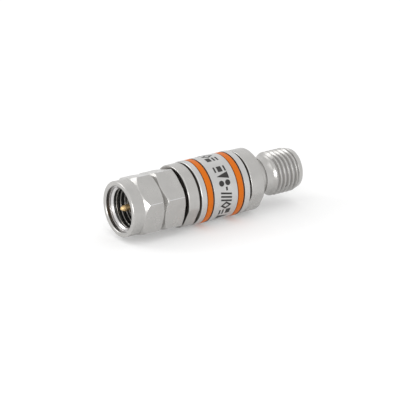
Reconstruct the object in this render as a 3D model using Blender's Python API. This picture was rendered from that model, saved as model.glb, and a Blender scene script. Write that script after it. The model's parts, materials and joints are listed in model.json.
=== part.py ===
"""Coaxial line adapter, 3.5 mm male to 3.5 mm female, lying on its side.

The line runs along X: the male end with its coupling nut points to -X, the threaded female
end to +X. The origin is on the axis at mid length, +Z is up, and every size is in metres.
Two turned bodies screw together and clamp a marking sleeve between them. Inside, a stack of
outer conductor tubes and bead rings carries a centre line with a pin and a slotted socket.
"""
import math

import bmesh
import bpy
from mathutils import Matrix, Vector

MM = 0.001

# Lengths along the axis, from the front of the coupling nut to the female end
NUT_LENGTH = 8.46 * MM
NUT_TO_FLANGE = 0.38 * MM
FLANGE_LENGTH = 1.81 * MM
FRONT_GROOVE_WIDTH = 0.28 * MM
SLEEVE_LENGTH = 8.22 * MM
REAR_GROOVE_WIDTH = 0.30 * MM
GRIP_LENGTH = 2.00 * MM
TAPER_LENGTH = 0.30 * MM
NECK_LENGTH = 1.62 * MM
RELIEF_LENGTH = 1.30 * MM
THREAD_LENGTH = 3.63 * MM
LEAD_IN_LENGTH = 1.20 * MM

# The coaxial line: an air line of 50 ohm, whose walls set the radii round it
LINE_RADIUS = 1.75 * MM
LINE_IMPEDANCE = 50.0
MALE_SPIGOT_WALL = 0.525 * MM
MALE_SPIGOT_LENGTH = 1.90 * MM
MALE_PLANE_DEPTH = 2.70 * MM
FEMALE_PLANE_DEPTH = 1.93 * MM
FEMALE_BORE_CLEARANCE = 0.035 * MM
FEMALE_BORE_CHAMFER = 0.15 * MM
TUBE_WALL = 0.83 * MM
TUBE_CLEARANCE = 0.03 * MM
LIP_SETBACK = 1.49 * MM

# Rear of the female body, from the threaded barrel inwards
THREAD_WALL = 0.865 * MM
LEAD_IN_DROP = 0.35 * MM
RELIEF_DROP = 0.475 * MM
NECK_DROP = 0.675 * MM
TAPER_DROP = 0.22 * MM
GROOVE_DEPTH = 0.25 * MM

# Flange and grip stand a little under the sleeve, and each has a pair of wrench flats
RIM_DROP = 0.10 * MM
FLAT_DEPTH = 0.30 * MM
FLAT_TURN = math.radians(30.0)

# Coupling nut
HEX_CORNER_RISE = 0.019 * MM
HEX_CORNER_TURN = math.radians(18.4)
NUT_SKIRT_LENGTH = 1.86 * MM
NUT_SKIRT_RELIEF = 0.02 * MM
NUT_RIM_CHAMFER = 0.10 * MM
NUT_REAR_CHAMFER = 0.50 * MM
NUT_REAR_SLOPE = math.radians(30.0)
NUT_GROOVE_SETBACK = 3.34 * MM
NUT_GROOVE_DEPTH = 0.22 * MM
NUT_GROOVE_SLOPE = math.radians(30.0)
MOUTH_CLEARANCE = 0.075 * MM
MOUTH_DEPTH = 0.60 * MM
NUT_THREAD_DEPTH = 0.345 * MM
NUT_THREAD_LENGTH = 2.80 * MM
NUT_UNDERCUT_DEPTH = 0.05 * MM
NUT_LAND_LENGTH = 0.90 * MM

# Shank of the male body and the split ring that holds the nut on it
SHANK_DROP = 0.025 * MM
SHANK_CHAMFER = 0.15 * MM
NUT_RUNNING_CLEARANCE = 0.10 * MM
RING_SETBACK = 2.36 * MM
RING_WIDTH = 0.50 * MM
RING_THICKNESS = 0.45 * MM
RING_ENGAGEMENT = 0.18 * MM
RING_SIDE_CLEARANCE = 0.05 * MM
RING_RIM_CLEARANCE = 0.08 * MM
RING_SPRING_ROOM = 0.29 * MM
RING_SPLIT = 1.20 * MM
NUT_FLOAT = 0.10 * MM
FLOAT_CLEARANCE = 0.02 * MM

# Threaded joint between the two bodies, under the sleeve
SPIGOT_WALL = 0.59 * MM
SPIGOT_LENGTH = 4.50 * MM
SPIGOT_RELIEF = 0.60 * MM
SOCKET_WALL = 0.52 * MM
SLEEVE_WALL = 0.82 * MM
SOCKET_SETBACK = 0.50 * MM
JOINT_CLEARANCE = 0.03 * MM
FACE_CLEARANCE = 0.02 * MM
EDGE_CHAMFER = 0.12 * MM

# Colour bands, set in grooves round the sleeve
BAND_WIDTH = 1.18 * MM
BAND_THICKNESS = 0.24 * MM
BAND_SIDE_GAP = 0.07 * MM
BAND_DROP = 0.03 * MM
FRONT_BAND_OFFSET = 0.83 * MM
REAR_BAND_OFFSET = 0.99 * MM

# Centre line: pin, studs and slotted socket
PIN_RADIUS = 0.4635 * MM
PIN_LENGTH = 2.30 * MM
PIN_RECESS = 0.03 * MM
STUD_RADIUS = 0.45 * MM
STUD_LENGTH = 1.50 * MM
STUD_CLEARANCE = 0.02 * MM
SOCKET_HOLE_DEPTH = 2.60 * MM
SLOT_WIDTH = 0.12 * MM
SLOT_LENGTH = 2.40 * MM

# Dielectric beads that hold the centre line, each in a metal ring
BEAD_LENGTH = 1.20 * MM
BEAD_STEP = 0.20 * MM
BEAD_HOLE_COUNT = 6
BEAD_HOLE_RADIUS = 0.26 * MM
MALE_BEAD_INSET = 0.71 * MM
FEMALE_BEAD_INSET = 0.30 * MM

# Facets round the turned pieces; a multiple of four puts one flat facet straight down
BODY_FACETS = 64
LINE_FACETS = 32
FINE_FACETS = 24

# Stations along the axis
TOTAL_LENGTH = (
    NUT_LENGTH + NUT_TO_FLANGE + FLANGE_LENGTH + FRONT_GROOVE_WIDTH + SLEEVE_LENGTH
    + REAR_GROOVE_WIDTH + GRIP_LENGTH + TAPER_LENGTH + NECK_LENGTH + RELIEF_LENGTH
    + THREAD_LENGTH + LEAD_IN_LENGTH
)
NUT_FRONT = -TOTAL_LENGTH / 2
NUT_REAR = NUT_FRONT + NUT_LENGTH
FLANGE_FRONT = NUT_REAR + NUT_TO_FLANGE
FLANGE_REAR = FLANGE_FRONT + FLANGE_LENGTH
SLEEVE_FRONT = FLANGE_REAR + FRONT_GROOVE_WIDTH
SLEEVE_REAR = SLEEVE_FRONT + SLEEVE_LENGTH
GRIP_FRONT = SLEEVE_REAR + REAR_GROOVE_WIDTH
TAPER_START = GRIP_FRONT + GRIP_LENGTH
TAPER_END = TAPER_START + TAPER_LENGTH
RELIEF_START = TAPER_END + NECK_LENGTH
THREAD_START = RELIEF_START + RELIEF_LENGTH
THREAD_END = THREAD_START + THREAD_LENGTH
FEMALE_END = THREAD_END + LEAD_IN_LENGTH
MALE_PLANE = NUT_FRONT + MALE_PLANE_DEPTH
FEMALE_PLANE = FEMALE_END - FEMALE_PLANE_DEPTH
SHANK_FRONT = MALE_PLANE + MALE_SPIGOT_LENGTH
LIP_REAR = FLANGE_FRONT - LIP_SETBACK
MALE_BEAD_FRONT = FLANGE_FRONT + MALE_BEAD_INSET
MALE_BEAD_REAR = MALE_BEAD_FRONT + BEAD_LENGTH
FEMALE_BEAD_REAR = TAPER_START - FEMALE_BEAD_INSET
FEMALE_BEAD_FRONT = FEMALE_BEAD_REAR - BEAD_LENGTH
RING_CENTRE = FLANGE_FRONT - RING_SETBACK

# Radii of the line, and of the bodies and the sleeve that are stacked round it
CENTRE_RADIUS = LINE_RADIUS / math.exp(LINE_IMPEDANCE / 60.0)
MALE_SPIGOT_RADIUS = LINE_RADIUS + MALE_SPIGOT_WALL
FEMALE_BORE_RADIUS = MALE_SPIGOT_RADIUS + FEMALE_BORE_CLEARANCE
TUBE_RADIUS = LINE_RADIUS + TUBE_WALL
BEAD_RADIUS = LINE_RADIUS + BEAD_STEP
BEAD_SEAT_RADIUS = BEAD_RADIUS + TUBE_CLEARANCE
BODY_BORE = TUBE_RADIUS + TUBE_CLEARANCE
SPIGOT_RADIUS = BODY_BORE + SPIGOT_WALL
SOCKET_BORE = SPIGOT_RADIUS + JOINT_CLEARANCE
SOCKET_RADIUS = SOCKET_BORE + SOCKET_WALL
SLEEVE_BORE = SOCKET_RADIUS + JOINT_CLEARANCE
BODY_RADIUS = SLEEVE_BORE + SLEEVE_WALL
RIM_RADIUS = BODY_RADIUS - RIM_DROP
FLAT_RADIUS = RIM_RADIUS - FLAT_DEPTH
BOSS_RADIUS = FLAT_RADIUS - GROOVE_DEPTH

# Radii of the threaded end
THREAD_RADIUS = FEMALE_BORE_RADIUS + THREAD_WALL
RELIEF_RADIUS = THREAD_RADIUS - RELIEF_DROP
NECK_RADIUS = THREAD_RADIUS - NECK_DROP
TAPER_END_RADIUS = RIM_RADIUS - TAPER_DROP

# Radii of the nut, whose thread fits the one on the female end, and of its ring
HEX_CORNER_RADIUS = BODY_RADIUS + HEX_CORNER_RISE
HEX_FLAT_RADIUS = HEX_CORNER_RADIUS * math.cos(math.pi / 6)
MOUTH_RADIUS = THREAD_RADIUS + MOUTH_CLEARANCE
NUT_THREAD_BORE = THREAD_RADIUS - NUT_THREAD_DEPTH
SHANK_RADIUS = THREAD_RADIUS - SHANK_DROP
NUT_REAR_BORE = SHANK_RADIUS + NUT_RUNNING_CLEARANCE
NUT_UNDERCUT_RADIUS = NUT_REAR_BORE + NUT_UNDERCUT_DEPTH
RING_INNER = SHANK_RADIUS - RING_ENGAGEMENT
RING_OUTER = RING_INNER + RING_THICKNESS

METALS = {
    "stainless_steel": ((0.50, 0.49, 0.47), 1.0, 0.28),
    "sleeve_steel": ((0.55, 0.55, 0.54), 1.0, 0.32),
    "spring_bronze": ((0.55, 0.38, 0.20), 1.0, 0.35),
    "gold_plate": ((0.83, 0.60, 0.24), 1.0, 0.22),
}
PLASTICS = {
    "orange_band": ((0.78, 0.17, 0.01), 0.0, 0.45),
    "bead_dielectric": ((0.80, 0.76, 0.62), 0.0, 0.50),
}


def clear_scene():
    """Remove every object that the open file holds."""
    for thing in list(bpy.data.objects):
        bpy.data.objects.remove(thing, do_unlink=True)


def finish_material(name):
    """Principled material of a metal or a plastic, made once and then shared."""
    if name in bpy.data.materials:
        return bpy.data.materials[name]
    colour, metallic, roughness = {**METALS, **PLASTICS}[name]
    material = bpy.data.materials.new(name)
    material.use_nodes = True
    shader = material.node_tree.nodes["Principled BSDF"]
    shader.inputs["Base Color"].default_value = (*colour, 1.0)
    shader.inputs["Metallic"].default_value = metallic
    shader.inputs["Roughness"].default_value = roughness
    return material


def add_object(name, mesh_data, material=None):
    """Put a bmesh into the scene as one named object."""
    mesh = bpy.data.meshes.new(name)
    mesh_data.to_mesh(mesh)
    mesh_data.free()
    thing = bpy.data.objects.new(name, mesh)
    bpy.context.collection.objects.link(thing)
    if material:
        mesh.materials.append(finish_material(material))
        mesh.shade_smooth()
        mesh.set_sharp_from_angle(angle=math.radians(30))
    return thing


def spun(outline, facets, sweep=2 * math.pi, middle=None):
    """Spin a closed (x, radius) outline about the X axis; a part turn gets two end faces."""
    mesh_data = bmesh.new()
    half_facet = math.pi / facets
    start = half_facet if middle is None else middle - sweep / 2
    turn = Matrix.Rotation(start, 3, "X")
    ring = [mesh_data.verts.new(turn @ Vector((x, 0.0, -radius))) for x, radius in outline]
    edges = [mesh_data.edges.new((ring[i - 1], ring[i])) for i in range(len(ring))]
    closed = sweep >= 2 * math.pi
    steps = facets if closed else max(3, round(facets * sweep / (2 * math.pi)))
    result = bmesh.ops.spin(
        mesh_data, geom=ring + edges, cent=(0, 0, 0), axis=(1, 0, 0),
        angle=sweep, steps=steps, use_merge=closed,
    )
    if not closed:
        last_edges = [part for part in result["geom_last"] if isinstance(part, bmesh.types.BMEdge)]
        bmesh.ops.holes_fill(mesh_data, edges=edges)
        bmesh.ops.holes_fill(mesh_data, edges=last_edges)
    bmesh.ops.remove_doubles(mesh_data, verts=mesh_data.verts, dist=1e-4 * MM)
    bmesh.ops.recalc_face_normals(mesh_data, faces=mesh_data.faces)
    return mesh_data


def turned(name, outline, material, facets=BODY_FACETS):
    """A lathe-turned piece from its closed half section."""
    return add_object(name, spun(outline, facets), material)


def tube_outline(front, rear, inner, outer, chamfer=0.0):
    """Half section of a plain tube, with its outer edges chamfered."""
    return [
        (front, inner),
        (front, outer - chamfer),
        (front + chamfer, outer),
        (rear - chamfer, outer),
        (rear, outer - chamfer),
        (rear, inner),
    ] if chamfer else [(front, inner), (front, outer), (rear, outer), (rear, inner)]


def cutting_tool(name, mesh_data):
    """A solid that only cuts; it stays hidden and is shown as wire."""
    tool = add_object(name, mesh_data)
    tool.hide_render = True
    tool.display_type = "WIRE"
    return tool


def box(size, centre, turn=0.0):
    """Box bmesh with the given size and centre, turned about the X axis."""
    mesh_data = bmesh.new()
    place = Matrix.Rotation(turn, 4, "X") @ Matrix.Translation(centre) @ Matrix.Diagonal((*size, 1.0))
    bmesh.ops.create_cube(mesh_data, size=1.0, matrix=place)
    return mesh_data


def prism(radius, length, centre, sides, turn=0.0):
    """Straight prism along X whose first corner is turned from +Y towards +Z."""
    mesh_data = bmesh.new()
    place = (
        Matrix.Translation(centre) @ Matrix.Rotation(turn, 4, "X")
        @ Matrix.Rotation(math.pi / 2, 4, "Y") @ Matrix.Rotation(math.pi / 2, 4, "Z")
    )
    bmesh.ops.create_cone(
        mesh_data, cap_ends=True, segments=sides, radius1=radius, radius2=radius,
        depth=length, matrix=place,
    )
    return mesh_data


def cut(thing, tool, operation="DIFFERENCE"):
    """Boolean modifier that cuts the thing with the tool."""
    modifier = thing.modifiers.new(tool.name, "BOOLEAN")
    modifier.operation = operation
    modifier.object = tool
    modifier.solver = "EXACT"


def add_wrench_flats(thing, label, front, rear):
    """Mill two parallel flats between two stations, the first facing down and to -Y."""
    margin = RIM_RADIUS
    reach = FLAT_DEPTH + margin
    for side, turn in (("low", FLAT_TURN), ("high", FLAT_TURN + math.pi)):
        centre = ((front + rear) / 2, -(FLAT_RADIUS + reach / 2), 0.0)
        size = (rear - front, reach, 2 * RIM_RADIUS + margin)
        cut(thing, cutting_tool(f"{label}_flat_{side}", box(size, centre, turn)))


def make_coupling_nut():
    """Hexagon nut with a round skirt, a V groove, a threaded bore and a ring groove."""
    blank_radius = HEX_CORNER_RADIUS + NUT_RIM_CHAMFER
    rear_drop = NUT_REAR_CHAMFER + NUT_RIM_CHAMFER
    skirt_radius = HEX_FLAT_RADIUS - NUT_SKIRT_RELIEF
    skirt_end = NUT_FRONT + NUT_SKIRT_LENGTH
    groove_centre = NUT_REAR - NUT_GROOVE_SETBACK
    groove_bottom = HEX_FLAT_RADIUS - NUT_GROOVE_DEPTH
    groove_half = (blank_radius - groove_bottom) * math.tan(NUT_GROOVE_SLOPE)
    thread_start = NUT_FRONT + MOUTH_DEPTH + MOUTH_RADIUS - NUT_THREAD_BORE
    thread_end = thread_start + NUT_THREAD_LENGTH
    groove_radius = RING_OUTER + RING_RIM_CLEARANCE
    ring_half = RING_WIDTH / 2 + RING_SIDE_CLEARANCE
    undercut_end = RING_CENTRE - ring_half - NUT_LAND_LENGTH - NUT_UNDERCUT_DEPTH
    outline = [
        (NUT_FRONT, MOUTH_RADIUS + NUT_RIM_CHAMFER),
        (NUT_FRONT, skirt_radius - NUT_RIM_CHAMFER),
        (NUT_FRONT + NUT_RIM_CHAMFER, skirt_radius),
        (skirt_end, skirt_radius),
        (skirt_end + blank_radius - skirt_radius, blank_radius),
        (groove_centre - groove_half, blank_radius),
        (groove_centre, groove_bottom),
        (groove_centre + groove_half, blank_radius),
        (NUT_REAR - rear_drop * math.tan(NUT_REAR_SLOPE), blank_radius),
        (NUT_REAR, blank_radius - rear_drop),
        (NUT_REAR, NUT_REAR_BORE + NUT_RIM_CHAMFER),
        (NUT_REAR - NUT_RIM_CHAMFER, NUT_REAR_BORE),
        (RING_CENTRE + ring_half, NUT_REAR_BORE),
        (RING_CENTRE + ring_half, groove_radius),
        (RING_CENTRE - ring_half, groove_radius),
        (RING_CENTRE - ring_half, NUT_REAR_BORE),
        (undercut_end + NUT_UNDERCUT_DEPTH, NUT_REAR_BORE),
        (undercut_end, NUT_UNDERCUT_RADIUS),
        (thread_end, NUT_UNDERCUT_RADIUS),
        (thread_end, NUT_THREAD_BORE),
        (thread_start, NUT_THREAD_BORE),
        (NUT_FRONT + MOUTH_DEPTH, MOUTH_RADIUS),
        (NUT_FRONT + NUT_RIM_CHAMFER, MOUTH_RADIUS),
    ]
    nut = turned("coupling_nut", outline, "stainless_steel")
    centre = ((NUT_FRONT + NUT_REAR) / 2, 0.0, 0.0)
    turn = math.pi - HEX_CORNER_TURN
    hexagon = prism(HEX_CORNER_RADIUS, NUT_LENGTH + BODY_RADIUS, centre, 6, turn)
    cut(nut, cutting_tool("nut_hexagon", hexagon), "INTERSECT")
    return nut


def make_retaining_ring():
    """Split spring ring, half in the shank's groove and half in the nut's."""
    outline = tube_outline(
        RING_CENTRE - RING_WIDTH / 2, RING_CENTRE + RING_WIDTH / 2, RING_INNER, RING_OUTER,
    )
    sweep = 2 * math.pi - RING_SPLIT / RING_INNER
    ring = spun(outline, BODY_FACETS, sweep, middle=0.0)
    return add_object("nut_retaining_ring", ring, "spring_bronze")


def make_male_body():
    """Front body: grooved shank, flange with wrench flats and a threaded spigot."""
    ring_half = RING_WIDTH / 2 + NUT_FLOAT + FLOAT_CLEARANCE
    ring_bottom = RING_INNER - RING_SPRING_ROOM
    lip_bore = MALE_SPIGOT_RADIUS + TUBE_CLEARANCE
    boss_end = SLEEVE_FRONT - FACE_CLEARANCE
    spigot_end = SLEEVE_FRONT + SPIGOT_LENGTH
    outline = [
        (SHANK_FRONT, lip_bore),
        (SHANK_FRONT, SHANK_RADIUS - SHANK_CHAMFER),
        (SHANK_FRONT + SHANK_CHAMFER, SHANK_RADIUS),
        (RING_CENTRE - ring_half, SHANK_RADIUS),
        (RING_CENTRE - ring_half, ring_bottom),
        (RING_CENTRE + ring_half, ring_bottom),
        (RING_CENTRE + ring_half, SHANK_RADIUS),
        (FLANGE_FRONT, SHANK_RADIUS),
        (FLANGE_FRONT, RIM_RADIUS - EDGE_CHAMFER),
        (FLANGE_FRONT + EDGE_CHAMFER, RIM_RADIUS),
        (FLANGE_REAR - EDGE_CHAMFER, RIM_RADIUS),
        (FLANGE_REAR, RIM_RADIUS - EDGE_CHAMFER),
        (FLANGE_REAR, BOSS_RADIUS),
        (boss_end, BOSS_RADIUS),
        (boss_end, SPIGOT_RADIUS - EDGE_CHAMFER),
        (boss_end + SPIGOT_RELIEF, SPIGOT_RADIUS - EDGE_CHAMFER),
        (boss_end + SPIGOT_RELIEF + EDGE_CHAMFER, SPIGOT_RADIUS),
        (spigot_end - EDGE_CHAMFER, SPIGOT_RADIUS),
        (spigot_end, SPIGOT_RADIUS - EDGE_CHAMFER),
        (spigot_end, BODY_BORE),
        (LIP_REAR, BODY_BORE),
        (LIP_REAR, lip_bore),
    ]
    body = turned("male_body", outline, "stainless_steel")
    add_wrench_flats(body, "flange", FLANGE_FRONT - EDGE_CHAMFER, FLANGE_REAR + EDGE_CHAMFER)
    return body


def make_male_outer_conductor():
    """Outer conductor with the male reference plane on its front face."""
    rear = MALE_BEAD_FRONT - FACE_CLEARANCE
    shoulder = LIP_REAR + FACE_CLEARANCE
    outline = [
        (MALE_PLANE, LINE_RADIUS),
        (MALE_PLANE, MALE_SPIGOT_RADIUS - EDGE_CHAMFER),
        (MALE_PLANE + EDGE_CHAMFER, MALE_SPIGOT_RADIUS),
        (shoulder, MALE_SPIGOT_RADIUS),
        (shoulder, TUBE_RADIUS),
        (rear, TUBE_RADIUS),
        (rear, LINE_RADIUS),
    ]
    return turned("male_outer_conductor", outline, "stainless_steel", LINE_FACETS)


def make_line_tube():
    """Middle outer conductor, clamped between the two bead rings."""
    front = MALE_BEAD_REAR + FACE_CLEARANCE
    rear = FEMALE_BEAD_FRONT - FACE_CLEARANCE
    outline = tube_outline(front, rear, LINE_RADIUS, TUBE_RADIUS)
    return turned("line_tube", outline, "stainless_steel", LINE_FACETS)


def make_bead(end, front):
    """Dielectric bead with a hole for the stud and a circle of tuning holes."""
    rear = front + BEAD_LENGTH
    stud_hole = STUD_RADIUS + STUD_CLEARANCE
    outline = tube_outline(front, rear, stud_hole, BEAD_RADIUS)
    bead = turned(f"{end}_bead", outline, "bead_dielectric", LINE_FACETS)
    circle = (CENTRE_RADIUS + BEAD_RADIUS) / 2
    for index in range(BEAD_HOLE_COUNT):
        angle = 2 * math.pi * index / BEAD_HOLE_COUNT
        centre = ((front + rear) / 2, circle * math.cos(angle), circle * math.sin(angle))
        drill = prism(BEAD_HOLE_RADIUS, 2 * BEAD_LENGTH, centre, 12)
        cut(bead, cutting_tool(f"{end}_bead_drill_{index + 1}", drill))
    ring = tube_outline(front, rear, BEAD_SEAT_RADIUS, TUBE_RADIUS)
    turned(f"{end}_bead_ring", ring, "stainless_steel", LINE_FACETS)
    return bead


def make_male_pin():
    """Gold plated pin with a round nose, a line shoulder and a stud through the bead."""
    tip = MALE_PLANE - PIN_LENGTH
    shoulder = MALE_PLANE + PIN_RECESS
    bead_face = MALE_BEAD_FRONT - FACE_CLEARANCE
    stud_end = MALE_BEAD_REAR + FACE_CLEARANCE + STUD_LENGTH
    steps = 5
    nose = [
        (
            tip + PIN_RADIUS * (1 - math.cos(math.pi / 2 * step / steps)),
            PIN_RADIUS * math.sin(math.pi / 2 * step / steps),
        )
        for step in range(steps + 1)
    ]
    outline = nose + [
        (shoulder, PIN_RADIUS),
        (shoulder, CENTRE_RADIUS),
        (bead_face, CENTRE_RADIUS),
        (bead_face, STUD_RADIUS),
        (stud_end, STUD_RADIUS),
        (stud_end, 0.0),
    ]
    return turned("male_pin", outline, "gold_plate", FINE_FACETS)


def make_centre_conductor():
    """Middle of the centre line, bored at both ends for the studs."""
    front = MALE_BEAD_REAR + FACE_CLEARANCE
    rear = FEMALE_BEAD_FRONT - FACE_CLEARANCE
    bore = STUD_RADIUS + STUD_CLEARANCE
    depth = STUD_LENGTH + FACE_CLEARANCE
    outline = [
        (front + depth, 0.0),
        (front + depth, bore),
        (front, bore),
        (front, CENTRE_RADIUS),
        (rear, CENTRE_RADIUS),
        (rear, bore),
        (rear - depth, bore),
        (rear - depth, 0.0),
    ]
    return turned("centre_conductor", outline, "gold_plate", FINE_FACETS)


def make_female_contact():
    """Socket for the pin, slotted into four spring fingers, with a stud behind it."""
    mouth = FEMALE_PLANE - PIN_RECESS
    bead_face = FEMALE_BEAD_REAR + FACE_CLEARANCE
    stud_end = FEMALE_BEAD_FRONT - FACE_CLEARANCE - STUD_LENGTH
    hole = PIN_RADIUS + STUD_CLEARANCE
    outline = [
        (stud_end, 0.0),
        (stud_end, STUD_RADIUS),
        (bead_face, STUD_RADIUS),
        (bead_face, CENTRE_RADIUS),
        (mouth - EDGE_CHAMFER, CENTRE_RADIUS),
        (mouth, CENTRE_RADIUS - EDGE_CHAMFER),
        (mouth, hole),
        (mouth - SOCKET_HOLE_DEPTH, hole),
        (mouth - SOCKET_HOLE_DEPTH, 0.0),
    ]
    contact = turned("female_contact", outline, "gold_plate", FINE_FACETS)
    for index in range(2):
        size = (2 * SLOT_LENGTH, 4 * CENTRE_RADIUS, SLOT_WIDTH)
        saw = box(size, (mouth, 0.0, 0.0), math.pi / 4 + index * math.pi / 2)
        cut(contact, cutting_tool(f"contact_saw_{index + 1}", saw))
    return contact


def make_female_body():
    """Rear body: socket for the spigot, grip with wrench flats, neck and threaded end."""
    socket_front = SLEEVE_FRONT + SOCKET_SETBACK
    spigot_seat = SLEEVE_FRONT + SPIGOT_LENGTH + FACE_CLEARANCE + EDGE_CHAMFER
    boss_front = SLEEVE_REAR + FACE_CLEARANCE
    bead_seat = FEMALE_BEAD_REAR + FACE_CLEARANCE
    outline = [
        (socket_front, SOCKET_BORE),
        (socket_front, SOCKET_RADIUS),
        (boss_front, SOCKET_RADIUS),
        (boss_front, BOSS_RADIUS),
        (GRIP_FRONT, BOSS_RADIUS),
        (GRIP_FRONT, RIM_RADIUS - EDGE_CHAMFER),
        (GRIP_FRONT + EDGE_CHAMFER, RIM_RADIUS),
        (TAPER_START, RIM_RADIUS),
        (TAPER_END, TAPER_END_RADIUS),
        (TAPER_END, NECK_RADIUS),
        (RELIEF_START, NECK_RADIUS),
        (RELIEF_START, RELIEF_RADIUS),
        (THREAD_START, RELIEF_RADIUS),
        (THREAD_START + THREAD_RADIUS - RELIEF_RADIUS, THREAD_RADIUS),
        (THREAD_END, THREAD_RADIUS),
        (FEMALE_END, THREAD_RADIUS - LEAD_IN_DROP),
        (FEMALE_END, FEMALE_BORE_RADIUS + FEMALE_BORE_CHAMFER),
        (FEMALE_END - FEMALE_BORE_CHAMFER, FEMALE_BORE_RADIUS),
        (FEMALE_PLANE, FEMALE_BORE_RADIUS),
        (FEMALE_PLANE, LINE_RADIUS),
        (bead_seat, LINE_RADIUS),
        (bead_seat, BODY_BORE),
        (spigot_seat, BODY_BORE),
        (spigot_seat, SOCKET_BORE),
    ]
    body = turned("female_body", outline, "stainless_steel")
    add_wrench_flats(body, "grip", GRIP_FRONT - EDGE_CHAMFER, TAPER_END + NECK_LENGTH / 2)
    return body


def make_marking_sleeve():
    """Sleeve clamped between the bodies, with a groove for each colour band."""
    groove_floor = BODY_RADIUS - BAND_DROP - BAND_THICKNESS - JOINT_CLEARANCE
    front_start, rear_start = band_stations()
    outline = [
        (SLEEVE_FRONT, SLEEVE_BORE),
        (SLEEVE_FRONT, BODY_RADIUS - EDGE_CHAMFER),
        (SLEEVE_FRONT + EDGE_CHAMFER, BODY_RADIUS),
    ]
    for start in (front_start, rear_start):
        groove_start = start - BAND_SIDE_GAP
        groove_end = start + BAND_WIDTH + BAND_SIDE_GAP
        outline += [
            (groove_start, BODY_RADIUS),
            (groove_start, groove_floor),
            (groove_end, groove_floor),
            (groove_end, BODY_RADIUS),
        ]
    outline += [
        (SLEEVE_REAR - EDGE_CHAMFER, BODY_RADIUS),
        (SLEEVE_REAR, BODY_RADIUS - EDGE_CHAMFER),
        (SLEEVE_REAR, SLEEVE_BORE),
    ]
    return turned("marking_sleeve", outline, "sleeve_steel")


def band_stations():
    """Front edges of the two colour bands, set back from the two ends of the sleeve."""
    return SLEEVE_FRONT + FRONT_BAND_OFFSET, SLEEVE_REAR - REAR_BAND_OFFSET - BAND_WIDTH


def make_colour_bands():
    """Two plastic rings that fill the grooves of the sleeve."""
    outer = BODY_RADIUS - BAND_DROP
    for end, start in zip(("front", "rear"), band_stations()):
        outline = tube_outline(start, start + BAND_WIDTH, outer - BAND_THICKNESS, outer)
        turned(f"colour_band_{end}", outline, "orange_band")


def main():
    clear_scene()
    make_coupling_nut()
    make_retaining_ring()
    make_male_body()
    make_male_outer_conductor()
    make_male_pin()
    make_bead("male", MALE_BEAD_FRONT)
    make_line_tube()
    make_centre_conductor()
    make_bead("female", FEMALE_BEAD_FRONT)
    make_female_contact()
    make_female_body()
    make_marking_sleeve()
    make_colour_bands()


main()
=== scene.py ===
"""Finished surfaces of a coaxial adapter, male to female, laid out as an add-on.

Every turned piece is a skin over a half section: a list of corners in the (x, radius) plane
that may change with the angle round the axis. The skin joins the corners of all angles.
"""
import json
import math

import bpy
import numpy as np
from bpy.props import FloatProperty, FloatVectorProperty, IntProperty, PointerProperty
from mathutils import Matrix, Vector


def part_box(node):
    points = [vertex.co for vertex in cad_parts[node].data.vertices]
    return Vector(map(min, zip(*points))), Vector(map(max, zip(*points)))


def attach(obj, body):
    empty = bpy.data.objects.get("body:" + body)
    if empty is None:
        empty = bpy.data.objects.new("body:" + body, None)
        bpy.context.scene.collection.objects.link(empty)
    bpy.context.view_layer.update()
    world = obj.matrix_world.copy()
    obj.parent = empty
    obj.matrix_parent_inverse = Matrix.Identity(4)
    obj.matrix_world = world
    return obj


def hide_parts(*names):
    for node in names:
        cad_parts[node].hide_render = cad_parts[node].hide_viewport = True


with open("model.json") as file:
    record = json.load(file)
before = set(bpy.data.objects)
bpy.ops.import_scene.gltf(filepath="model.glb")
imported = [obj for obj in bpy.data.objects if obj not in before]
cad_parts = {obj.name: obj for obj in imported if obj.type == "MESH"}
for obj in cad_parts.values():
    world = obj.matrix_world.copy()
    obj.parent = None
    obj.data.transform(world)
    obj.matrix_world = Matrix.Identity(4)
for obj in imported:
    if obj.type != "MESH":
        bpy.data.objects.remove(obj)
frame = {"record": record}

bl_info = {
    "name": "Coaxial adapter",
    "version": (1, 0, 0),
    "blender": (4, 5, 0),
    "location": "3D View > Sidebar > Adapter",
    "description": "Builds the finished surfaces of a coaxial adapter round its frame",
    "category": "Object",
}

MM = 0.001
TURN = 2 * math.pi
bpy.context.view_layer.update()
MOUNTS = {mount["name"]: mount["pos_m"] for mount in frame["record"]["mounts"]}

# How far the rounding of a corner reaches along its sides
EDGE_BREAK = 0.02 * MM
SOFT_EDGE = 0.03 * MM
FILLET = 0.05 * MM
ROUND_EDGE = 0.07 * MM
# Bevel where one piece enters another
LEAD_BEVEL = 0.15 * MM


def node_ends(node):
    """First and last station of a CAD node along the axis."""
    low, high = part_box(node)
    return low[0], high[0]


NUT_FRONT, NUT_REAR = node_ends("coupling_nut")
RING_FRONT, RING_REAR = node_ends("nut_retaining_ring")
SHANK_FRONT, SPIGOT_END = node_ends("male_body")
SLEEVE_FRONT, SLEEVE_REAR = node_ends("marking_sleeve")
SOCKET_FRONT, FEMALE_END = node_ends("female_body")
PIN_TIP, PIN_STUD_END = node_ends("male_pin")
MALE_PLANE = MOUNTS["male_reference_plane"][0]
FEMALE_PLANE = MOUNTS["female_reference_plane"][0]
FLAT_RADIUS = math.hypot(*MOUNTS["flange_wrench_flat"][1:])
FLAT_ANGLE = math.atan2(*MOUNTS["flange_wrench_flat"][:0:-1])


def length(name, value, description):
    """Length property shown as a distance; the default is given in millimetres."""
    return FloatProperty(
        name=name, description=description, default=value * MM, min=0.0,
        unit="LENGTH", subtype="DISTANCE", precision=5,
    )


def degrees(name, value, description):
    """Angle property; the default is given in degrees."""
    return FloatProperty(
        name=name, description=description, default=math.radians(value),
        unit="ROTATION", subtype="ANGLE",
    )


def tint(name, value, description):
    """Colour property with a linear default."""
    return FloatVectorProperty(
        name=name, description=description, default=value, size=3, min=0.0, max=1.0,
        subtype="COLOR",
    )


def factor(name, value, description):
    """Plain number between nothing and one."""
    return FloatProperty(
        name=name, description=description, default=value, min=0.0, max=1.0, subtype="FACTOR",
    )


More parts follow.
